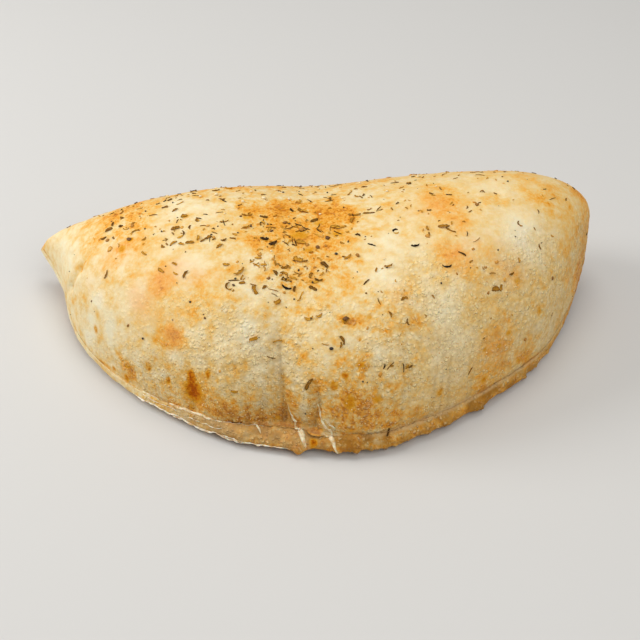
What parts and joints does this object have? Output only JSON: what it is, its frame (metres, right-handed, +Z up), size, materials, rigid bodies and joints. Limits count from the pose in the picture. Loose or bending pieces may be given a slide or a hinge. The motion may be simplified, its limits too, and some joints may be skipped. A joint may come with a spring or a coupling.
{
  "type": "calzone",
  "caption": "Whole baked calzone: a folded half-moon of blown-up pizza dough with a pinched ear, a blunt corner and a low sealed edge with pleats.",
  "frame": {"origin": "under the middle of the crust's box, on the face it rests on", "axes": "+X along the fold, from the pinched ear to the blunt corner; -Y towards the curved, sealed edge; +Z up, away from the face it rests on"},
  "size_m": [0.2738, 0.1486, 0.0685],
  "materials": {
    "baked_dough": "baked pizza dough: pale golden cream, toasted orange on the crown and spotted brown, dry with a faint oily sheen",
    "dried_herbs": "dried, crumbled leaf, matt olive brown",
    "cracked_pepper": "cracked peppercorn, dull near-black",
    "grain": "pale grain of semolina and garlic, matt"
  },
  "bodies": {
    "root": {"calzone": "baked_dough"}
  },
  "joints": []
}
